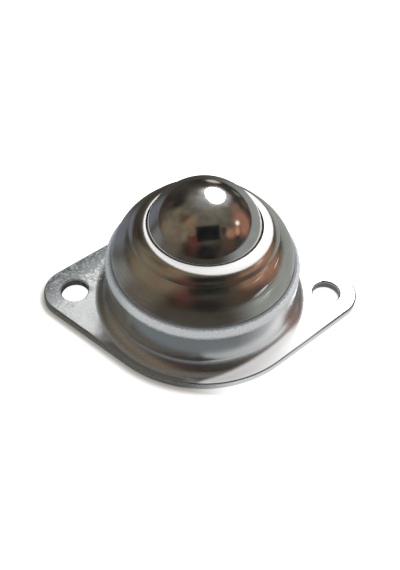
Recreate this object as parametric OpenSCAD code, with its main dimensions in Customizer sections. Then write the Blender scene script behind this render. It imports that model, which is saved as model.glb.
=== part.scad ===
// Ball transfer unit: a steel load ball that rolls in any direction on a bed of
// small bearing balls, in a pressed steel housing with a two-hole mounting flange.
// Millimetres, +Z up. The origin is the centre of the mounting face, X runs
// through the two fixing holes, and the load ball stands on the Z axis.

/* [Load ball] */
// Diameter of the load ball
ball_d = 25.4; // [20:0.1:25.6]
// Gap between the load ball and the rim that holds it in
rim_gap = 0.3; // [0.15:0.05:0.4]

/* [Bearing balls] */
// Diameter of one bearing ball
bearing_ball_d = 4.763; // [4.7:0.001:5.5]
// Running gap between a bearing ball and the race or the load ball
running_gap = 0.05; // [0.02:0.01:0.1]
// Gap between neighbouring bearing balls
neighbour_gap = 0.04; // [0.02:0.01:0.1]

/* [Bearing cup] */
// Thickness of the cup's wall
cup_wall = 1.5; // [1:0.05:1.8]
// Thickness of the cup's floor, where its underside is flat
cup_floor = 1.1; // [0.6:0.05:1.2]
// Width of the cup's rim
cup_rim_w = 1.3; // [0.7:0.05:1.5]
// How far the cup reaches past the middle of the last row of bearing balls
cup_reach = 0.3; // [0.2:0.05:0.5]
// Gap between the cup's rim and the cover
cup_gap = 0.18; // [0.05:0.01:0.3]

/* [Bottom pan] */
// Height of the pan above the mounting face
pan_rise = 0.35; // [0.1:0.05:1]
// Thickness of the pan's sheet
pan_t = 1.5; // [1:0.1:2]
// Height of the pan's wall
pan_h = 6.2; // [5:0.1:8]
// Outer radius of the bend between the pan's floor and its wall
pan_bend_r = 2.4; // [2.1:0.1:4]

/* [Top cover] */
// Thickness of the cover's sheet
cover_t = 1.3; // [1:0.1:1.5]
// Radius of the cover's wide lower dome, in section
dome_arc_r = 12.1; // [11.5:0.1:12.5]
// Drop from the ball's centre to the widest part of the lower dome
dome_drop = 7.8; // [7.4:0.1:8]
// Radius of the narrow crown round the rim, in section
crown_arc_r = 4.55; // [4.3:0.05:4.8]
// Distance from the ball's side in to the centre of the crown's arc
crown_inset = 0.7; // [0.5:0.05:0.9]
// Drop from the ball's centre to the centre of the crown's arc
crown_drop = 0.75; // [0.5:0.05:1]
// Rounding of the rim's upper edge
rim_round_r = 0.35; // [0.2:0.05:0.5]
// Radius in the crease between the crown and the lower dome
crease_r = 0.8; // [0.3:0.1:1.5]
// How far the cover's skirt stands out below the lower dome
shoulder_w = 0.25; // [0.2:0.05:0.6]

/* [Base flange] */
// Thickness of the flange's sheet
flange_t = 2; // [1.5:0.1:2.5]
// Thickness of the collar's wall
wall_t = 0.95; // [0.8:0.05:2]
// Gap between the collar and what stands in it
fit_gap = 0.05; // [0.02:0.01:0.1]
// Radius of the bend from the flange up to the collar
fillet_r = 2.9; // [2:0.1:4]
// Outer radius of the lip that is rolled over the cover
lip_r = 1.6; // [1:0.1:1.7]
// Height of the lip above the widest part of the lower dome
lip_rise = 1.55; // [1.2:0.05:1.8]
// Flat width of the flange at its sides
side_land = 1.1; // [0.7:0.1:5]

/* [Fixing holes] */
// Diameter of the fixing holes
hole_d = 6.3; // [4:0.1:8]
// Flat width between the bend and a fixing hole
hole_land = 1.45; // [0.5:0.05:10]
// Width of metal round the outside of a fixing hole
end_land = 3.85; // [2:0.05:8]
// Width of the broken edge at the top of a fixing hole
hole_chamfer = 0.3; // [0.1:0.05:0.6]

/* [Hidden] */
// Ball and races
ball_r = ball_d / 2;
bearing_ball_r = bearing_ball_d / 2;
pitch_r = ball_r + running_gap + bearing_ball_r;
race_r = pitch_r + bearing_ball_r + running_gap;
pan_floor_z = pan_rise + pan_t;
ball_z = pan_floor_z + cup_floor + race_r;

// Rows of bearing balls, from the one at the bottom outwards. Six fit round that one,
// and the last two rows have room for one more each, so that the balls can run
row_counts = [1, 6, 11, 15, 17];
row_step = asin((bearing_ball_d + neighbour_gap) / pitch_r);
bearing_ball_count = balls_before(len(row_counts));

// Bearing cup
cup_angle = (len(row_counts) - 1) * row_step + asin(cup_reach / race_r);
cup_r = race_r + cup_wall;
cup_rim_z = ball_z - race_r * cos(cup_angle);
cup_land_r = race_r * sin(cup_angle) + cup_rim_w;

// Top cover
dome_z = ball_z - dome_drop;
dome_r = cup_land_r + cup_gap + dome_arc_r - leg(dome_arc_r - cover_t, cup_rim_z - dome_z);
dome_centre = [dome_r - dome_arc_r, dome_z];
crown_centre = [ball_r - crown_inset, ball_z - crown_drop];
skirt_r = dome_r + shoulder_w;
skirt_top_z = dome_z - shoulder_w;
skirt_bottom_z = pan_rise + pan_h;

// Base flange
bore_r = skirt_r + fit_gap;
wall_r = bore_r + wall_t;
lip_top_z = dome_z + lip_rise;
bend_r = fillet_r + wall_t;
fillet_end_r = wall_r + fillet_r;
foot_r = fillet_end_r + side_land / 2;
flange_side_r = fillet_end_r + side_land;
hole_r = hole_d / 2;
hole_x = fillet_end_r + hole_land + hole_r;
flange_end_r = hole_r + end_land;

// How far a cutter reaches past the face that it cuts
past = 1;
// How far the rounding in the crease is set into the two arcs that it joins
bite = 0.005;
// Facets round the revolved pieces and round a ball
$fn = 96;
ball_fn = 48;

// The other leg of a right triangle with this hypotenuse and leg
function leg(hypotenuse, side) = sqrt(hypotenuse * hypotenuse - side * side);

// Number of bearing balls in the rows below this one
function balls_before(row) = row == 0 ? 0 : balls_before(row - 1) + row_counts[row - 1];

// Row that holds bearing ball i, counted from 1 at the bottom
function row_of(i, row = 0) = i <= balls_before(row + 1) ? row : row_of(i, row + 1);

function bearing_ball_name(i) = str("bearing_ball_", i < 10 ? "0" : "", i);

// Where two circles meet, on the left of the way from the first centre to the second
function meet(c1, r1, c2, r2) =
    let (
        way = c2 - c1,
        dist = norm(way),
        along = (r1 * r1 - r2 * r2 + dist * dist) / (2 * dist),
        across = leg(r1, along)
    )
    c1 + (along * way + across * [-way.y, way.x]) / dist;

// The point at this distance from a centre, on the way to another point
function towards(centre, point, distance) =
    centre + (point - centre) * distance / norm(point - centre);

// The outline of the flange: a disc and two lugs, joined by their tangents
module flange_outline() {
    tilt = acos((flange_side_r - flange_end_r) / hole_x);
    tangent = [cos(tilt), sin(tilt)];
    side_point = flange_side_r * tangent;
    end_point = [hole_x, 0] + flange_end_r * tangent;
    circle(r = flange_side_r);
    for (side = [0, 1]) mirror([side, 0]) {
        translate([hole_x, 0]) circle(r = flange_end_r);
        polygon([
            [0, 0], [side_point.x, -side_point.y], [end_point.x, -end_point.y],
            end_point, side_point
        ]);
    }
}

// The collar as if it were solid, in section: flat foot, bend, wall and rolled lip
module collar_section() {
    square([foot_r, flange_t]);
    square([wall_r, lip_top_z - lip_r]);
    square([wall_r - lip_r, lip_top_z]);
    translate([wall_r - lip_r, lip_top_z - lip_r]) circle(r = lip_r);
    difference() {
        square([fillet_end_r, flange_t + fillet_r]);
        translate([fillet_end_r, flange_t + fillet_r]) circle(r = fillet_r);
    }
}

// The space inside the collar, in section: close round the cover, flared at the foot
module bore_section() {
    polygon([
        [0, -past], [bore_r, -past], [bore_r, skirt_top_z],
        [dome_r + fit_gap - past, dome_z + past], [0, dome_z + past]
    ]);
    dome_section(-fit_gap);
    difference() {
        translate([0, -past]) square([fillet_end_r, bend_r + past]);
        translate([fillet_end_r, bend_r]) circle(r = bend_r);
    }
}

// Pressed flange with its drawn collar, whose edge is rolled over the cover
module base_flange() {
    color("lightsteelblue") {
        difference() {
            linear_extrude(flange_t) difference() {
                flange_outline();
                circle(r = fillet_end_r);
            }
            for (side = [-1, 1]) translate([side * hole_x, 0, 0]) {
                translate([0, 0, -past]) cylinder(r = hole_r, h = flange_t + 2 * past);
                translate([0, 0, flange_t - hole_chamfer])
                    cylinder(r1 = hole_r, r2 = hole_r + hole_chamfer + past, h = hole_chamfer + past);
            }
        }
        rotate_extrude() difference() {
            collar_section();
            bore_section();
        }
    }
}

// The lower dome down to its shoulder, in section and drawn in by so much
module dome_section(inward) {
    intersection() {
        translate(dome_centre) circle(r = dome_arc_r - inward);
        translate([0, skirt_top_z]) square([dome_r + past, dome_arc_r + past]);
    }
}

// What rounds the crease between the crown and the lower dome, in section
module crease_section(inward) {
    apart = crease_r - bite;
    round_centre = meet(crown_centre, crown_arc_r + apart, dome_centre, dome_arc_r + apart);
    reach = crease_r + inward + past;
    difference() {
        polygon([
            round_centre,
            towards(round_centre, crown_centre, reach),
            meet(crown_centre, crown_arc_r - inward - past, dome_centre, dome_arc_r - inward - past),
            towards(round_centre, dome_centre, reach)
        ]);
        translate(round_centre) circle(r = crease_r + inward);
    }
}

// The cover's outer form, or its inner form when drawn in by the sheet's thickness
module cover_form(inward) {
    foot_z = skirt_bottom_z - (inward > 0 ? past : 0);
    translate(crown_centre) circle(r = crown_arc_r - inward);
    crease_section(inward);
    dome_section(inward);
    polygon([
        [0, foot_z], [skirt_r - inward, foot_z], [skirt_r - inward, skirt_top_z],
        [dome_r - inward - past, dome_z + past], [0, dome_z + past]
    ]);
}

// What comes off the rim's upper corner to round it, in section
module rim_corner() {
    ball_centre = [0, ball_z];
    clear_r = ball_r + rim_gap;
    corner = meet(crown_centre, crown_arc_r, ball_centre, clear_r);
    round_centre = meet(
        crown_centre, crown_arc_r - rim_round_r, ball_centre, clear_r + rim_round_r);
    difference() {
        polygon([
            round_centre,
            towards(ball_centre, round_centre, clear_r - rim_round_r),
            towards(round_centre, corner, 4 * rim_round_r),
            towards(crown_centre, round_centre, crown_arc_r + rim_round_r)
        ]);
        translate(round_centre) circle(r = rim_round_r);
    }
}

// Polished cover: skirt in the collar, lower dome, crown, and rim close round the ball
module top_cover() {
    color("gainsboro") rotate_extrude() difference() {
        cover_form(0);
        cover_form(cover_t);
        translate([0, ball_z]) circle(r = ball_r + rim_gap);
        rim_corner();
    }
}

// The pan's outer form, or its inner form when drawn in by the sheet's thickness
module pan_form(inward) {
    bend = pan_bend_r - inward;
    foot = pan_rise + inward;
    top = skirt_bottom_z + (inward > 0 ? past : 0);
    translate([0, foot + bend]) square([skirt_r - inward, top - foot - bend]);
    translate([0, foot]) square([skirt_r - pan_bend_r, bend]);
    translate([skirt_r - pan_bend_r, foot + bend]) circle(r = bend);
}

// Pan pressed into the collar from below, which carries the cup and the cover
module bottom_pan() {
    color("lightsteelblue") rotate_extrude() difference() {
        pan_form(0);
        pan_form(pan_t);
    }
}

// Hardened cup in whose hollow the bearing balls run
module bearing_cup() {
    color("dimgray") rotate_extrude() difference() {
        intersection() {
            translate([0, ball_z]) circle(r = cup_r);
            translate([0, pan_floor_z]) square([cup_land_r, cup_rim_z - pan_floor_z]);
        }
        translate([0, ball_z]) circle(r = race_r);
    }
}

// Bearing ball i, in its row round the bottom of the load ball
module bearing_ball(i) {
    row = row_of(i);
    place = i - 1 - balls_before(row);
    spin = (place + row / 2) * 360 / row_counts[row];
    color("silver") translate([0, 0, ball_z]) rotate([0, row * row_step, spin])
        translate([0, 0, -pitch_r]) sphere(r = bearing_ball_r, $fn = ball_fn);
}

// Polished steel ball that carries the load
module load_ball() {
    color("lightslategray") translate([0, 0, ball_z]) sphere(r = ball_r);
}

base_flange();
top_cover();
bottom_pan();
bearing_cup();
load_ball();
for (i = [1:bearing_ball_count])
    bearing_ball(i);
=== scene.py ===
import math

import bmesh
import bpy
from mathutils import Matrix, Vector


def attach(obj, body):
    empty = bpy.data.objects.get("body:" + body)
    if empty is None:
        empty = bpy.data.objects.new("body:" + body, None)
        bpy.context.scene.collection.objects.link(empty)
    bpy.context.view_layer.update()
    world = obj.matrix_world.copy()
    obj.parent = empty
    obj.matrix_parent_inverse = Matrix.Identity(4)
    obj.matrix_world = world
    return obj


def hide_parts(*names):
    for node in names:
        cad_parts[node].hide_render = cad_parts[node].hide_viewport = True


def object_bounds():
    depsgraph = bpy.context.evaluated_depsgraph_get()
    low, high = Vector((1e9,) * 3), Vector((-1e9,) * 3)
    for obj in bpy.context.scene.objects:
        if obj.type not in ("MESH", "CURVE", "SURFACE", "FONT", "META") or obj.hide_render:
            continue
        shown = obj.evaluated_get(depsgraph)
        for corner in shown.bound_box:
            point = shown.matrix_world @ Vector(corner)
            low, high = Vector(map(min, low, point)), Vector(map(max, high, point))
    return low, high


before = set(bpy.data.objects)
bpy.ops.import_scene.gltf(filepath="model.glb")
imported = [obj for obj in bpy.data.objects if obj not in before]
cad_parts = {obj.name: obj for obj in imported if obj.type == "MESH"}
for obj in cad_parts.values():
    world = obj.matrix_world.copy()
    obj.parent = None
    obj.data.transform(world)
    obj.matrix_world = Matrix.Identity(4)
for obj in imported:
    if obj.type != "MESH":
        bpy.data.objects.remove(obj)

CAD_LOW, CAD_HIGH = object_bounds()
MM = 0.001

# Below, a direction is an azimuth from +Y towards +X and an elevation, in degrees. A pair
# that ends in _AT, or names a place, is where a share starts and where it is full. A noise
# is its scale, detail and roughness. Lengths are in millimetres, but in metres for the
# camera's clipping, the lamp's distance, the floor's size and whatever is times MM.

# Camera: it looks down on the unit from the front, a little from the left
TARGET = Vector((0, 0, 10 * MM))
CAMERA_AZIMUTH, CAMERA_ELEVATION = 183.5, 48.3
CAMERA_DISTANCE = 180 * MM
CAMERA_ROLL = math.radians(3.15)
CAMERA_LENS = 50.97
AIM_DOWN = math.radians(1.22)
AIM_LEFT = math.radians(0.17)
CLIP_NEAR, CLIP_FAR = 0.01, 20

# Lamp: an ellipse behind the unit and to the right, whose long axis leans towards LAMP_TOP
LAMP_AZIMUTH, LAMP_ELEVATION = 22, 49
LAMP_TOP = (43, 69)
LAMP_DISTANCE = 0.6
LAMP_HALF_WIDTH, LAMP_HALF_HEIGHT = math.radians(14), math.radians(19.5)
LAMP_RADIANCE = 6
LAMP_COLOUR = (1.0, 0.995, 0.985)

# The flange's outline: a disc and two rounded ends with straight sides between them. The
# sides' normals lean by SIDE_LEAN from X. A hole's radius is that of its chamfered mouth
SIDE_R, END_R, HOLE_X = 25.5, 7.0, 29.0
SIDE_LEAN = math.acos((SIDE_R - END_R) / HOLE_X)
HOLE_R = 3.5
FLANGE_TOP = 2.0

# Its rounded upper edge, and how the edges to round are told from the others
EDGE_ROUND, EDGE_STEPS, EDGE_PROFILE = 0.42, 4, 0.5
EDGE_FROM_OUTLINE, EDGE_FROM_TOP = 0.15, 0.01
MERGE_WITHIN = 0.001 * MM
FLAT_ANGLE, EDGE_ANGLE, SHARP_ANGLE = math.radians(0.2), math.radians(60), math.radians(28)
FLAT_WEIGHT = 100

# Floor: its paint, and its glow to the camera and in the metal. Beside the shaded side of the
# flange both give way to a painted shadow, up to so far from its outline, but not within its holes
FLOOR_SIZE = 3.0
FLOOR_DROP = 0.02 * MM
FLOOR_PAINT, FLOOR_PAINTED_SHADOW = (0.84, 0.84, 0.84), (0.62, 0.58, 0.53)
FLOOR_GLOW = 0.70
BESIDE_OUTLINE, BESIDE_HOLE = (0.2, 2.6), (HOLE_R + 0.2, HOLE_R + 0.6)

# The side of the table that the unit shades: its direction, and where it begins
SHADED_WAY, SHADED_AT = (-0.8, -0.6), (7.0, 20.0)

# Grey cards on the table, seen in the metal alone: the board that the unit stands on, which
# carries painted shade, dark in front and at the left and paler towards the lamp, and the
# painted shadow along the flange's edge
BOARD_HEIGHT, BOARD_MARGIN, BOARD_REACH = 1.6, 0.03, 4000.0
BOARD_STEPS_ROUND, BOARD_STEPS_OUT = 144, 10
BOARD_NEAR, BOARD_FAR = (0.190, 0.205, 0.212), (0.080, 0.073, 0.062)
BOARD_FAR_R = (28.0, 40.0)
# Its lighter parts: azimuth, half width and softness in degrees, and the near and far tones
# The first patch is painted light on the table, on the lamp's side
BOARD_PATCHES = [
    (78, 60, 40, (0.60, 0.60, 0.60), (0.38, 0.41, 0.40)),
    (-115, 16, 20, (0.19, 0.20, 0.20), (0.155, 0.135, 0.112)),
    (-86, 13, 16, (0.34, 0.37, 0.40), (0.23, 0.24, 0.24)),
    (-50, 15, 16, (0.26, 0.28, 0.33), (0.19, 0.205, 0.24)),
]
# Painted contact shadow along the flange's edge, dark on the shaded side and pale on the lit side
SHADE_HEIGHT, SHADE_MARGIN, SHADE_STEPS = 0.12, 2.4, 180
SHADE_TONE, LIT_SHADE_TONE = (0.105, 0.100, 0.094), (0.85, 0.85, 0.84)

# Room: what the metal mirrors, the even light on matt surfaces, and white to the camera
BACKGROUND = (1.0, 1.0, 1.0)
SOFT_LIGHT = (0.88, 0.885, 0.89)
ROOM_LOW, ROOM_HIGH, ROOM_HIGH_AT = (0.052, 0.047, 0.041), (0.180, 0.162, 0.130), (0.3, 0.95)
SWIRL, SWIRL_SCALE, SWIRL_DETAIL = 0.22, 2.6, 2.0
NOISE_MIDDLE = 0.5
MOTTLE_NOISE, MOTTLE_AT, MOTTLE = (3.0, 2.5, 0.55), (0.3, 0.7), (0.78, 1.22)

# Cards round the unit: azimuth, elevation, radius and softness in degrees, and colour
CARDS = [
    (-105, 26, 34, 40, (0.220, 0.188, 0.132)),
    (-48, 30, 15, 18, (0.038, 0.034, 0.030)),
    (-55, 20, 5, 6, (0.095, 0.058, 0.044)),
    (-82, 12, 7, 9, (0.220, 0.160, 0.120)),
    (-96, 50, 9, 12, (0.100, 0.066, 0.045)),
    (-123, 57, 8, 10, (0.280, 0.170, 0.090)),
    (-117, 24, 9, 12, (0.250, 0.165, 0.130)),
    (-150, 14, 14, 14, (0.055, 0.038, 0.026)),
    (-158, 20, 12, 12, (0.090, 0.044, 0.036)),
    (-156, 35, 13, 10, (0.135, 0.052, 0.047)),
    (-146, 42, 5, 6, (0.210, 0.130, 0.085)),
    (176, 8, 19, 16, (0.022, 0.020, 0.019)),
    (131, 42, 7, 8, (0.060, 0.034, 0.034)),
    (133, 18, 13, 14, (0.105, 0.070, 0.048)),
    (84, 21, 19, 18, (0.430, 0.215, 0.145)),
    (62, 34, 9, 10, (0.330, 0.210, 0.160)),
    (117, 31, 8, 10, (0.460, 0.255, 0.165)),
    (106, 24, 5, 7, (0.850, 0.420, 0.260)),
    (94, 29, 3.5, 4, (2.6, 2.2, 2.0)),
    (49, 8, 8, 9, (0.130, 0.105, 0.090)),
    (34, 8, 3, 4, (0.330, 0.300, 0.230)),
    (8, 8, 5, 6, (0.950, 0.850, 0.750)),
    (10, 62, 22, 30, (0.330, 0.330, 0.320)),
    (22, 49, 21, 14, (0.620, 0.620, 0.610)),
]

# The dark doorway in front: azimuth, elevation, half width, half height and softness in
# degrees, its colour, and how far ahead a ray has to point to meet it and not its back
DOORWAY = (172, 49, 22, 14, 5)
DOORWAY_TONE = (0.014, 0.018, 0.017)
DOORWAY_AHEAD = (0.2, 0.4)

# How metallic the matt zones of the zinc plate and of the cover are
MATT_METALLIC = 0.2

# Zinc plate: its grain and tones
ZINC_FINE, ZINC_BROAD, ZINC_SPANGLE = (3.2, 4.0, 0.65), (0.35, 3.0, 0.5), (1.15, 4.0, 0.75)
ZINC_DARK, ZINC_LIGHT, ZINC_LIGHT_AT = (0.62, 0.65, 0.66), (0.82, 0.84, 0.85), (0.35, 0.7)
ZINC_BLUISH, ZINC_BLUISH_AT, ZINC_BLUISH_SHARE = (0.70, 0.72, 0.76), (0.3, 0.75), 0.35
ZINC_ROUGH_AT, ZINC_ROUGH = (0.3, 0.75), (0.29, 0.41)
ZINC_BUMP = (0.35, 0.03 * MM)

# Its smooth wall, and the matt lip, with how far the grain moves the lip's borders, and the
# lip's inside, darkened as painted shade in the crease where it meets the dome
WALL_Z, WALL_R, WALL_TONE = (3.2, 4.4), (23.6, 22.4), (0.74, 0.76, 0.77)
LIP_Z, LIP_INSIDE_R, LIP_LOOSE = (11.5, 13.2), (20.9, 20.5), 1.2
LIP_DARK, LIP_LIGHT, LIP_LIGHT_AT = (0.62, 0.64, 0.66), (0.76, 0.78, 0.79), (0.36, 0.66)
# Painted shade: the lip is dimmed at the left, the side away from the lamp
LIP_DIM_X, LIP_DIM_SHARE = (-14.0, -19.0), 0.6

# The dull left end, painted dark towards its tip, a painted shade where the lamp's reflection in
# the plate fades: how its border slants, and how far the spangle breaks it up
DULL_SLANT, DULL_BROKEN, DULL_AT, DULL_Z = 0.9, 40.0, (24.5, 34.0), (3.0, 2.2)
DULL_DARK, DULL_LIGHT, DULL_LIGHT_AT = (0.042, 0.046, 0.046), (0.33, 0.35, 0.355), (0.40, 0.60)

# The rolled edge by its gap to the outline, the holes' walls, and the flange's upper face
ROLLED_GAP, ROLLED_Z = (-0.40, -0.28), (1.3, 1.5)
BORED_R, BORED_Z = (HOLE_R + 0.05, HOLE_R + 0.15), (1.4, 1.8)
UPPER_FACE_Z = (1.85, 1.95)

# The bright front at the right, painted light where the sheet mirrors the light outside a circle,
# and the brown front at the left, painted shadow where the unit shades the sheet
BRIGHT_CENTRE, BRIGHT_OFF = (-9.6, 10.7), (36.0, 37.1)
BRIGHT_X, BRIGHT_Y, BRIGHT_R = (-5.0, 1.0), (-7.0, -14.0), (21.9, 22.2)
BROWN_X, BROWN_Y, BROWN_R = (1.0, -5.0), (-11.5, -15.5), (23.9, 24.6)

# Tones of the zones that have one tone, in the order in which they are laid on
ZONE_TONES = [
    # Painted shade on the lip's left
    ("lip_dim", (0.34, 0.37, 0.39)),
    # Painted shade in the crease between the lip and the dome
    ("lip_inside", (0.26, 0.28, 0.30)),
    ("rolled", (0.45, 0.46, 0.46)),
    # Painted shade in the holes' walls
    ("bored", (0.13, 0.13, 0.13)),
    # Painted light: near white on the front's right
    ("bright", (0.96, 0.96, 0.96)),
    # Painted shadow: dark olive on the front's left, where the unit shades the sheet
    ("brown", (0.145, 0.133, 0.105)),
]
ZONE_ROUGHNESS = [
    ("wall", 0.2), ("lip", 0.5), ("dull", 0.7), ("rolled", 0.25), ("bright", 0.6), ("brown", 0.75),
]
MATT_ZONES = ("lip", "dull", "bright", "brown")

# Polished cover: smudges, and turned grooves, which are noise drawn out round the axis
SMUDGE_NOISE, TURNED_NOISE, TURNED_STRETCH = (0.22, 3.0, 0.55), (2.0, 3.0, 0.6), (6.0, 1.2, 6.0)
COVER_DULL, COVER_CLEAN, COVER_CLEAN_AT = (0.64, 0.62, 0.56), (0.72, 0.70, 0.66), (0.35, 0.7)
GROOVE_TONE, GROOVE_AT, GROOVE_SHARES = (0.40, 0.385, 0.35), (0.36, 0.50), (0.30, 0.0)
RIDGE_TONE, RIDGE_AT, RIDGE_SHARES = (0.84, 0.83, 0.80), (0.52, 0.66), (0.0, 0.45)
COVER_ROUGH_AT, COVER_ROUGH = (0.3, 0.7), (0.17, 0.26)
COVER_BUMP = (0.3, 0.02 * MM)

# Its matt band round the rim, painted near white as the lamp's highlight there, and the leaning
# scratches at the right, painted as lit streaks, with the angles and the heights between which
# they come in and go out
RIM_HIGHLIGHT_CENTRE, RIM_HIGHLIGHT_R, RIM_HIGHLIGHT_Z = (0.75, -0.55), (13.35, 13.9), (22.6, 23.2)
PAINTED_HIGHLIGHT_TONE, RIM_HIGHLIGHT_ROUGH = (0.99, 0.99, 0.98), 0.6
SCRATCH_NOISE, SCRATCH_AT, SCRATCH_ROUGH = (1.0, 2.0, 0.5), (0.60, 0.68), 0.35
SCRATCH_PER_Z, SCRATCH_LEAN, SCRATCH_ALONG = 3.6, -7.5, 1.6
SCRATCH_ANGLES = ((-1.15, -0.85), (-0.55, -0.25))
SCRATCH_HEIGHTS = ((16.5, 18.0), (20.8, 21.8))

# Balls: colour and roughness, their cloudy wear, and how much darker and rougher it goes
LOAD_BALL = ((0.66, 0.64, 0.62), 0.075)
BEARING_BALL = ((0.70, 0.70, 0.70), 0.06)
CLOUD_NOISE, CLOUD_AT, CLOUD_ROUGH_AT = (0.4, 3.0, 0.5), (0.35, 0.65), (0.3, 0.7)
CLOUD_DARKER, CLOUD_ROUGHER = 0.9, 2

# Hardened cup: its ground grain
GRAIN_NOISE, GRAIN_DARK, GRAIN_LIGHT = (2.0, 4.0, 0.6), (0.20, 0.19, 0.18), (0.34, 0.33, 0.32)
GRAIN_ROUGH_AT, GRAIN_ROUGH = (0.3, 0.7), (0.3, 0.45)
GRAIN_BUMP = (0.2, 0.01 * MM)


def direction(azimuth, elevation):
    """Unit vector for an azimuth from +Y towards +X and an elevation, in degrees."""
    a, e = math.radians(azimuth), math.radians(elevation)
    return Vector((math.sin(a) * math.cos(e), math.cos(a) * math.cos(e), math.sin(e)))


class Nodes:
    """Short calls that add linked shader nodes to one node tree."""

    def __init__(self, tree):
        self.tree = tree
        tree.nodes.clear()

    def put(self, socket, value):
        """Links a socket's value, or writes a plain one."""
        if isinstance(value, bpy.types.NodeSocket):
            self.tree.links.new(value, socket)
        else:
            socket.default_value = value

    def node(self, kind, inputs=None, **settings):
        """A node with these settings, and with inputs given by name or by number."""
        made = self.tree.nodes.new(kind)
        for name, value in settings.items():
            setattr(made, name, value)
        for name, value in (inputs or {}).items():
            self.put(made.inputs[name], value)
        return made

    def output(self, shader, kind="Material"):
        """Ends the tree in a shader."""
        self.node("ShaderNodeOutput" + kind, {"Surface": shader.outputs[0]})

    def math(self, operation, *values):
        return self.node("ShaderNodeMath", dict(enumerate(values)), operation=operation).outputs[0]

    def vector(self, operation, *values):
        made = self.node("ShaderNodeVectorMath", dict(enumerate(values)), operation=operation)
        return made.outputs[0]

    def scaled(self, vector, factor):
        made = self.node("ShaderNodeVectorMath", {0: vector, "Scale": factor}, operation="SCALE")
        return made.outputs[0]

    def dot(self, vector, axis):
        made = self.node("ShaderNodeVectorMath", {0: vector, 1: axis}, operation="DOT_PRODUCT")
        return made.outputs["Value"]

    def product(self, first, *others):
        for other in others:
            first = self.math("MULTIPLY", first, other)
        return first

    def highest(self, first, *others):
        for other in others:
            first = self.math("MAXIMUM", first, other)
        return first

    def distance(self, x, y, centre=(0.0, 0.0)):
        """How far a point is from a centre."""
        off_x, off_y = self.math("SUBTRACT", x, centre[0]), self.math("SUBTRACT", y, centre[1])
        squares = self.math("ADD", self.product(off_x, off_x), self.product(off_y, off_y))
        return self.math("SQRT", squares)

    def ramp(self, value, low, high, out_low=0.0, out_high=1.0, smooth=True):
        """A value taken from one range to another, and held at its ends."""
        inputs = {
            "Value": value,
            "From Min": low, "From Max": high,
            "To Min": out_low, "To Max": out_high,
        }
        kind = "SMOOTHSTEP" if smooth else "LINEAR"
        return self.node("ShaderNodeMapRange", inputs, interpolation_type=kind).outputs["Result"]

    def fade(self, value, low, high):
        """1 below low and 0 above high."""
        return self.ramp(value, low, high, 1.0, 0.0)

    def towards(self, share, first, second):
        """The first number, moved towards the second by a share."""
        return self.math("ADD", first, self.product(share, self.math("SUBTRACT", second, first)))

    def mix(self, share, first, second, blend="MIX"):
        """The first colour, with the second laid on by a share."""
        made = self.node("ShaderNodeMix", data_type="RGBA", blend_type=blend)
        self.put(made.inputs[0], share)
        for socket, colour in ((made.inputs[6], first), (made.inputs[7], second)):
            self.put(socket, (*colour, 1.0) if isinstance(colour, tuple) else colour)
        return made.outputs[2]

    def noise(self, vector, scale, detail, roughness):
        inputs = {"Vector": vector, "Scale": scale, "Detail": detail, "Roughness": roughness}
        return self.node("ShaderNodeTexNoise", inputs).outputs["Fac"]

    def bump(self, height, strength, distance):
        inputs = {"Height": height, "Strength": strength, "Distance": distance}
        return self.node("ShaderNodeBump", inputs).outputs["Normal"]

    def cone(self, way, azimuth, elevation, half, softness):
        """1 within so many degrees of a direction and 0 outside, with a soft edge."""
        apart = self.math("ARCCOSINE", self.dot(way, direction(azimuth, elevation)))
        inner, outer = math.radians(half - softness / 2), math.radians(half + softness / 2)
        return self.fade(apart, inner, outer)


class Place:
    """Where a shaded point is on its piece at rest, in millimetres and radians."""

    def __init__(self, n):
        self.vector = n.scaled(n.node("ShaderNodeTexCoord").outputs["Object"], 1 / MM)
        self.x, self.y, self.z = n.node("ShaderNodeSeparateXYZ", {0: self.vector}).outputs
        self.radius = n.distance(self.x, self.y)
        self.angle = n.math("ARCTAN2", self.y, self.x)


def new_material(name):
    """A new material, its nodes, and the place of the point that it shades."""
    material = bpy.data.materials.new(name)
    material.use_nodes = True
    n = Nodes(material.node_tree)
    return material, n, Place(n)


def metal(n, colour, roughness, normal=None, metallic=1.0):
    """Ends a material in a metal surface."""
    inputs = {"Base Color": colour, "Roughness": roughness, "Metallic": metallic}
    if normal is not None:
        inputs["Normal"] = normal
    n.output(n.node("ShaderNodeBsdfPrincipled", inputs))


def outline_gap(n, x, y):
    """How far a point of the table is outside the flange's outline, in millimetres."""
    along, across = n.math("ABSOLUTE", x), n.math("ABSOLUTE", y)
    lean, rest = math.cos(SIDE_LEAN), math.sin(SIDE_LEAN)
    turn = n.math("SUBTRACT", n.product(along, rest), n.product(across, lean))
    side = n.math("ADD", n.product(across, rest), n.product(along, lean))
    to_side = n.math("SUBTRACT", side, SIDE_R)
    to_middle = n.math("SUBTRACT", n.distance(along, across), SIDE_R)
    to_end = n.math("SUBTRACT", n.distance(along, across, (HOLE_X, 0.0)), END_R)
    by_end = n.math("GREATER_THAN", turn, rest * HOLE_X)
    by_middle = n.math("LESS_THAN", turn, 0.0)
    return n.towards(by_middle, n.towards(by_end, to_side, to_end), to_middle)


def outline_radius(angle, grow=0.0):
    """How far the flange's outline, grown by so much, is from the centre, in millimetres."""
    side_r, end_r = SIDE_R + grow, END_R + grow
    turn = abs(math.atan2(math.sin(angle), abs(math.cos(angle))))
    last = math.atan2(end_r * math.sin(SIDE_LEAN), HOLE_X + end_r * math.cos(SIDE_LEAN))
    if turn >= SIDE_LEAN:
        return side_r
    if turn > last:
        return side_r / math.cos(SIDE_LEAN - turn)
    across = HOLE_X * math.sin(turn)
    return HOLE_X * math.cos(turn) + math.sqrt(end_r * end_r - across * across)


def hole_distance(n, at):
    """How far a point is from the axis of the nearer fixing hole."""
    return n.distance(n.math("ABSOLUTE", at.x), at.y, (HOLE_X, 0.0))


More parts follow.
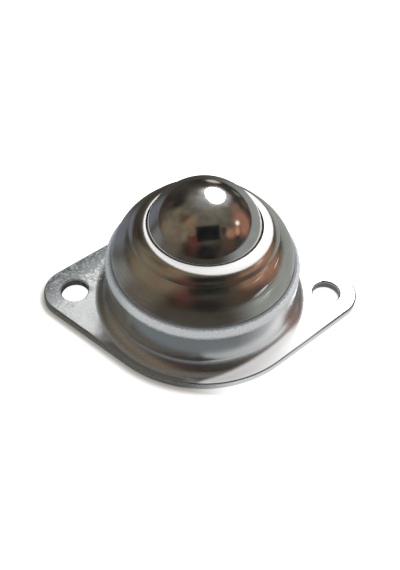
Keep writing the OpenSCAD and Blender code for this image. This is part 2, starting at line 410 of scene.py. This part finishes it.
def shaded_side(n, at):
    """1 on the side of the table that the unit shades, and 0 on the lit side."""
    way_x, way_y = SHADED_WAY
    return n.ramp(n.math("ADD", n.product(at.x, way_x), n.product(at.y, way_y)), *SHADED_AT)


def zinc_zones(n, at, fine, spangle):
    """The share of each zone of the zinc plate, from 0 to 1."""
    loose = n.product(n.math("SUBTRACT", fine, NOISE_MIDDLE), LIP_LOOSE)
    lip = n.ramp(n.math("ADD", at.z, loose), *LIP_Z)
    slanted = n.math("SUBTRACT", n.product(at.y, DULL_SLANT), at.x)
    broken = n.product(n.math("SUBTRACT", spangle, NOISE_MIDDLE), DULL_BROKEN)
    towards_end = n.math("ADD", slanted, broken)
    gap = outline_gap(n, at.x, at.y)
    upper_face = n.ramp(at.z, *UPPER_FACE_Z)
    off = n.distance(at.x, at.y, BRIGHT_CENTRE)
    return {
        "wall": n.product(n.ramp(at.z, *WALL_Z), n.ramp(at.radius, *WALL_R)),
        "lip": lip,
        "lip_dim": n.product(lip, n.ramp(at.x, *LIP_DIM_X, 0.0, LIP_DIM_SHARE)),
        "lip_inside": n.product(lip, n.ramp(n.math("ADD", at.radius, loose), *LIP_INSIDE_R)),
        "dull": n.product(
            n.ramp(towards_end, *DULL_AT), n.ramp(at.z, *DULL_Z), n.fade(gap, *ROLLED_GAP)
        ),
        "rolled": n.product(n.ramp(gap, *ROLLED_GAP), n.ramp(at.z, *ROLLED_Z)),
        "bored": n.product(n.fade(hole_distance(n, at), *BORED_R), n.fade(at.z, *BORED_Z)),
        "bright": n.product(
            n.ramp(off, *BRIGHT_OFF), upper_face,
            n.ramp(at.x, *BRIGHT_X), n.ramp(at.y, *BRIGHT_Y), n.ramp(at.radius, *BRIGHT_R),
        ),
        "brown": n.product(
            n.ramp(at.radius, *BROWN_R), n.ramp(at.y, *BROWN_Y), n.ramp(at.x, *BROWN_X), upper_face
        ),
    }


def zinc_material():
    """Zinc plate: grained all over, with its wall, lip and edges, its dull end painted dark,
    painted light and shadow on its front, and painted shade on the lip and in the holes.
    """
    material, n, at = new_material("zinc_plate")
    fine = n.noise(at.vector, *ZINC_FINE)
    broad = n.noise(at.vector, *ZINC_BROAD)
    spangle = n.noise(at.vector, *ZINC_SPANGLE)
    zones = zinc_zones(n, at, fine, spangle)
    tone = n.mix(n.ramp(fine, *ZINC_LIGHT_AT), ZINC_DARK, ZINC_LIGHT)
    tone = n.mix(n.ramp(broad, *ZINC_BLUISH_AT, 0.0, ZINC_BLUISH_SHARE), tone, ZINC_BLUISH)
    tone = n.mix(zones["wall"], tone, WALL_TONE)
    # Matt, and painted dark where the lamp's reflection in the plate fades
    dull_tone = n.mix(n.ramp(spangle, *DULL_LIGHT_AT), DULL_DARK, DULL_LIGHT)
    tone = n.mix(zones["dull"], tone, dull_tone)
    lip_tone = n.mix(n.ramp(fine, *LIP_LIGHT_AT), LIP_DARK, LIP_LIGHT)
    tone = n.mix(zones["lip"], tone, lip_tone)
    for name, zone_tone in ZONE_TONES:
        tone = n.mix(zones[name], tone, zone_tone)
    rough = n.ramp(fine, *ZINC_ROUGH_AT, *ZINC_ROUGH, smooth=False)
    for name, zone_rough in ZONE_ROUGHNESS:
        rough = n.towards(zones[name], rough, zone_rough)
    matt = n.highest(*(zones[name] for name in MATT_ZONES))
    metallic = n.ramp(matt, 0.0, 1.0, 1.0, MATT_METALLIC)
    metal(n, tone, rough, n.bump(fine, *ZINC_BUMP), metallic)
    return material


def scratches(n, at):
    """The share of the leaning scratches at the right of the cover."""
    leaning = n.math("ADD", n.product(at.z, SCRATCH_PER_Z), n.product(at.angle, SCRATCH_LEAN))
    along = n.product(at.angle, SCRATCH_ALONG)
    lines = n.node("ShaderNodeCombineXYZ", {0: leaning, 1: along}).outputs[0]
    line = n.ramp(n.noise(lines, *SCRATCH_NOISE), *SCRATCH_AT)
    angle_in, angle_out = SCRATCH_ANGLES
    z_in, z_out = SCRATCH_HEIGHTS
    return n.product(
        line, n.ramp(at.angle, *angle_in), n.fade(at.angle, *angle_out),
        n.ramp(at.z, *z_in), n.fade(at.z, *z_out),
    )


def polished_material():
    """Polished cover: turned grooves, smudges, scratches painted as lit streaks, and a matt band at
    the rim painted near white as the lamp's highlight.
    """
    material, n, at = new_material("polished_cover")
    stretched = zip((at.radius, at.angle, at.z), TURNED_STRETCH)
    grooves = {i: n.product(place, factor) for i, (place, factor) in enumerate(stretched)}
    turned = n.noise(n.node("ShaderNodeCombineXYZ", grooves).outputs[0], *TURNED_NOISE)
    smudge = n.noise(at.vector, *SMUDGE_NOISE)
    band = n.product(n.fade(n.distance(at.x, at.y, RIM_HIGHLIGHT_CENTRE), *RIM_HIGHLIGHT_R), n.ramp(at.z, *RIM_HIGHLIGHT_Z))
    scratch = scratches(n, at)
    highlight_and_scratches = n.highest(band, scratch)
    tone = n.mix(n.ramp(smudge, *COVER_CLEAN_AT), COVER_DULL, COVER_CLEAN)
    tone = n.mix(n.ramp(turned, *GROOVE_AT, *GROOVE_SHARES), tone, GROOVE_TONE)
    tone = n.mix(n.ramp(turned, *RIDGE_AT, *RIDGE_SHARES), tone, RIDGE_TONE)
    # Painted highlight: the rim band and the scratches are laid on near white
    tone = n.mix(highlight_and_scratches, tone, PAINTED_HIGHLIGHT_TONE)
    rough = n.ramp(smudge, *COVER_ROUGH_AT, *COVER_ROUGH, smooth=False)
    rough = n.math("ADD", rough, n.product(scratch, SCRATCH_ROUGH))
    rough = n.towards(band, rough, RIM_HIGHLIGHT_ROUGH)
    metallic = n.ramp(highlight_and_scratches, 0.0, 1.0, 1.0, MATT_METALLIC)
    metal(n, tone, rough, n.bump(turned, *COVER_BUMP), metallic)
    return material


def ball_material(name, colour, roughness):
    """Ground and polished steel, with faint cloudy wear."""
    material, n, at = new_material(name)
    cloud = n.noise(at.vector, *CLOUD_NOISE)
    darker = tuple(part * CLOUD_DARKER for part in colour)
    tone = n.mix(n.ramp(cloud, *CLOUD_AT), darker, colour)
    rougher = roughness * CLOUD_ROUGHER
    metal(n, tone, n.ramp(cloud, *CLOUD_ROUGH_AT, roughness, rougher, smooth=False))
    return material


def cup_material():
    """Hardened race: dark, with a fine ground grain."""
    material, n, at = new_material("hardened_cup")
    grain = n.noise(at.vector, *GRAIN_NOISE)
    rough = n.ramp(grain, *GRAIN_ROUGH_AT, *GRAIN_ROUGH, smooth=False)
    metal(n, n.mix(grain, GRAIN_DARK, GRAIN_LIGHT), rough, n.bump(grain, *GRAIN_BUMP))
    return material


def add_object(name, data):
    """Puts a new object into the scene."""
    made = bpy.data.objects.new(name, data)
    bpy.context.scene.collection.objects.link(made)
    return made


def add_sheet(name, points, faces, height, material):
    """Puts a flat stage piece with one material into the scene, at a height in metres."""
    mesh = bpy.data.meshes.new(name)
    mesh.from_pydata(points, [], faces)
    mesh.materials.append(material)
    sheet = add_object(name, mesh)
    sheet.location.z = height
    return sheet


def on_upper_edge(vertex):
    """Whether a vertex is on the flange's upper outer edge."""
    x, y, z = vertex.co / MM
    outside = math.hypot(x, y) > outline_radius(math.atan2(y, x)) - EDGE_FROM_OUTLINE
    return abs(z - FLANGE_TOP) < EDGE_FROM_TOP and outside


def round_flange():
    """The flange with the rounded upper edge that the press leaves, in place of the plain solid."""
    flange = add_object("rounded_flange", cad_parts["base_flange"].data.copy())
    mesh = bmesh.new()
    mesh.from_mesh(flange.data)
    bmesh.ops.remove_doubles(mesh, verts=mesh.verts, dist=MERGE_WITHIN)
    bmesh.ops.dissolve_limit(
        mesh, angle_limit=FLAT_ANGLE, verts=mesh.verts, edges=mesh.edges,
        use_dissolve_boundaries=False,
    )
    edges = [
        edge for edge in mesh.edges
        if all(on_upper_edge(vertex) for vertex in edge.verts) and len(edge.link_faces) == 2
        and edge.calc_face_angle(0.0) > EDGE_ANGLE
    ]
    bmesh.ops.bevel(
        mesh, geom=edges, offset=EDGE_ROUND * MM, offset_type="OFFSET", segments=EDGE_STEPS,
        profile=EDGE_PROFILE, affect="EDGES", clamp_overlap=False,
    )
    for face in mesh.faces:
        face.smooth = True
    mesh.to_mesh(flange.data)
    mesh.free()
    flange.data.set_sharp_from_angle(angle=SHARP_ANGLE)
    flat = flange.modifiers.new("flat_faces_stay_flat", "WEIGHTED_NORMAL")
    flat.mode, flat.weight, flat.keep_sharp = "FACE_AREA", FLAT_WEIGHT, True
    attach(flange, "housing")
    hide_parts("base_flange")
    return flange


def dress(piece, material):
    """Gives a piece its material."""
    piece.data.materials.clear()
    piece.data.materials.append(material)


def add_materials():
    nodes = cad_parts
    zinc = zinc_material()
    dress(round_flange(), zinc)
    dress(nodes["base_flange"], zinc)
    dress(nodes["bottom_pan"], zinc)
    dress(nodes["top_cover"], polished_material())
    dress(nodes["bearing_cup"], cup_material())
    dress(nodes["load_ball"], ball_material("load_ball_steel", *LOAD_BALL))
    small = ball_material("bearing_ball_steel", *BEARING_BALL)
    for name, node in nodes.items():
        if name.startswith("bearing_ball_"):
            dress(node, small)


def add_camera():
    data = bpy.data.cameras.new("camera")
    data.lens = CAMERA_LENS
    data.clip_start, data.clip_end = CLIP_NEAR, CLIP_FAR
    camera = add_object("camera", data)
    camera.rotation_mode = "QUATERNION"
    back = direction(CAMERA_AZIMUTH, CAMERA_ELEVATION)
    camera.location = TARGET + back * CAMERA_DISTANCE
    level = (-back).to_track_quat("-Z", "Y").to_matrix()
    framing = (
        Matrix.Rotation(CAMERA_ROLL, 3, "Z")
        @ Matrix.Rotation(-AIM_DOWN, 3, "X")
        @ Matrix.Rotation(AIM_LEFT, 3, "Y")
    )
    camera.rotation_quaternion = (level @ framing).to_quaternion()
    bpy.context.scene.camera = camera


def add_floor():
    """A white floor that glows a little to the camera and in the metal, keeps the shadow, and has a
    painted shadow beside the flange's shaded side.
    """
    material, n, at = new_material("floor")
    path = n.node("ShaderNodeLightPath").outputs
    seen = n.highest(path["Is Camera Ray"], path["Is Glossy Ray"], path["Is Transmission Ray"])
    beside_hole = n.ramp(hole_distance(n, at), *BESIDE_HOLE)
    lit = n.math("SUBTRACT", 1.0, n.product(shaded_side(n, at), beside_hole))
    white = n.highest(lit, n.ramp(outline_gap(n, at.x, at.y), *BESIDE_OUTLINE))
    # Painted shadow: beside the flange's shaded side the paint darkens and the glow goes out
    paint = n.node("ShaderNodeBsdfDiffuse", {"Color": n.mix(white, FLOOR_PAINTED_SHADOW, FLOOR_PAINT)})
    strength = n.product(seen, n.product(white, FLOOR_GLOW))
    glow = n.node("ShaderNodeEmission", {"Color": (1.0, 1.0, 1.0, 1.0), "Strength": strength})
    n.output(n.node("ShaderNodeAddShader", {0: paint.outputs[0], 1: glow.outputs[0]}))
    half = FLOOR_SIZE / 2
    corners = [(-half, -half, 0), (half, -half, 0), (half, half, 0), (-half, half, 0)]
    floor = add_sheet("floor", corners, [(0, 1, 2, 3)], CAD_LOW.z - FLOOR_DROP, material)


def reflected_only(piece):
    """Sets a piece so that the metal mirrors it, and the camera and the light don't meet it."""
    piece.visible_camera = piece.visible_diffuse = piece.visible_shadow = False
    piece.visible_transmission = piece.visible_volume_scatter = False


def board_material():
    """Painted shade of the table: dark in front and at the left, pale towards the light, and darker
    further out.
    """
    material, n, at = new_material("grey_board")
    way = n.vector("NORMALIZE", at.vector)
    near, far = BOARD_NEAR, BOARD_FAR
    for azimuth, half, softness, near_tone, far_tone in BOARD_PATCHES:
        share = n.cone(way, azimuth, 0, half, softness)
        near, far = n.mix(share, near, near_tone), n.mix(share, far, far_tone)
    tone = n.mix(n.ramp(at.radius, *BOARD_FAR_R), near, far)
    n.output(n.node("ShaderNodeEmission", {"Color": tone}))
    return material


def add_board():
    """The grey board round the unit, in rings that widen from the flange's outline."""
    points, faces = [], []
    for i in range(BOARD_STEPS_ROUND):
        angle = 2 * math.pi * i / BOARD_STEPS_ROUND
        inner = outline_radius(angle, BOARD_MARGIN)
        for j in range(BOARD_STEPS_OUT + 1):
            r = inner * (BOARD_REACH / inner) ** (j / BOARD_STEPS_OUT) * MM
            points.append((r * math.cos(angle), r * math.sin(angle), 0))
    row = BOARD_STEPS_OUT + 1
    for i in range(BOARD_STEPS_ROUND):
        for j in range(BOARD_STEPS_OUT):
            first, second = i * row + j, (i + 1) % BOARD_STEPS_ROUND * row + j
            faces.append((first, first + 1, second + 1, second))
    reflected_only(add_sheet("grey_board", points, faces, BOARD_HEIGHT * MM, board_material()))


def add_shade():
    """The strip of table along the flange's edge, which its cut side mirrors: a painted contact
    shadow, dark on the shaded side and pale on the lit side.
    """
    points = []
    for i in range(SHADE_STEPS):
        angle = 2 * math.pi * i / SHADE_STEPS
        r = outline_radius(angle, SHADE_MARGIN) * MM
        points.append((r * math.cos(angle), r * math.sin(angle), 0))
    material, n, at = new_material("edge_shade")
    tone = n.mix(shaded_side(n, at), LIT_SHADE_TONE, SHADE_TONE)
    n.output(n.node("ShaderNodeEmission", {"Color": tone}))
    face = tuple(range(SHADE_STEPS))
    reflected_only(add_sheet("edge_shade", points, [face], SHADE_HEIGHT * MM, material))


def add_lamp():
    """An elliptical soft lamp, as bright from any distance as its radiance says."""
    light = bpy.data.lights.new("lamp", "AREA")
    light.shape = "ELLIPSE"
    half_width = LAMP_DISTANCE * math.tan(LAMP_HALF_WIDTH)
    half_height = LAMP_DISTANCE * math.tan(LAMP_HALF_HEIGHT)
    light.size, light.size_y = 2 * half_width, 2 * half_height
    area = math.pi * half_width * half_height
    light.energy = LAMP_RADIANCE * math.pi * area
    light.color = LAMP_COLOUR
    lamp = add_object("lamp", light)
    away = direction(LAMP_AZIMUTH, LAMP_ELEVATION)
    lamp.location = TARGET + away * LAMP_DISTANCE
    lamp.rotation_mode = "QUATERNION"
    across = direction(*LAMP_TOP).cross(away).normalized()
    along = away.cross(across)
    lamp.rotation_quaternion = Matrix((across, along, away)).transposed().to_quaternion()


def doorway_share(n, way):
    """1 inside the doorway and 0 outside it, with a soft edge."""
    azimuth, elevation, half_width, half_height, softness = DOORWAY
    middle, across = direction(azimuth, elevation), direction(azimuth + 90, 0)
    beyond = []
    for axis, half in ((across, half_width), (middle.cross(across), half_height)):
        off = n.math("ABSOLUTE", n.math("ARCSINE", n.dot(way, axis)))
        beyond.append(n.math("SUBTRACT", off, math.radians(half)))
    edge = math.radians(softness) / 2
    inside = n.fade(n.highest(*beyond), -edge, edge)
    return n.product(inside, n.ramp(n.dot(way, middle), *DOORWAY_AHEAD))


def add_world():
    """The room that the metal mirrors: dull brown, with soft cards, and white to the camera."""
    world = bpy.data.worlds.new("room")
    world.use_nodes = True
    bpy.context.scene.world = world
    n = Nodes(world.node_tree)
    way = n.vector("NORMALIZE", n.node("ShaderNodeTexCoord").outputs["Generated"])
    swirl_inputs = {"Vector": way, "Scale": SWIRL_SCALE, "Detail": SWIRL_DETAIL}
    swirl = n.node("ShaderNodeTexNoise", swirl_inputs).outputs["Color"]
    shift = n.scaled(n.vector("SUBTRACT", swirl, (NOISE_MIDDLE,) * 3), SWIRL)
    bent = n.vector("NORMALIZE", n.vector("ADD", way, shift))
    height = n.node("ShaderNodeSeparateXYZ", {0: way}).outputs[2]
    colour = n.mix(n.ramp(height, *ROOM_HIGH_AT), ROOM_LOW, ROOM_HIGH)
    for azimuth, elevation, radius, softness, tint in CARDS:
        colour = n.mix(n.cone(bent, azimuth, elevation, radius, softness), colour, tint)
    colour = n.mix(doorway_share(n, way), colour, DOORWAY_TONE)
    mottle = n.ramp(n.noise(way, *MOTTLE_NOISE), *MOTTLE_AT, *MOTTLE)
    grey = n.node("ShaderNodeCombineXYZ", {0: mottle, 1: mottle, 2: mottle})
    colour = n.mix(1.0, colour, grey.outputs[0], blend="MULTIPLY")
    path = n.node("ShaderNodeLightPath").outputs
    colour = n.mix(path["Is Diffuse Ray"], colour, SOFT_LIGHT)
    colour = n.mix(path["Is Camera Ray"], colour, BACKGROUND)
    n.output(n.node("ShaderNodeBackground", {"Color": colour, "Strength": 1.0}), "World")


add_camera()
add_materials()
add_floor()
add_board()
add_shade()
add_lamp()
add_world()
bpy.context.scene.view_settings.view_transform = "Standard"
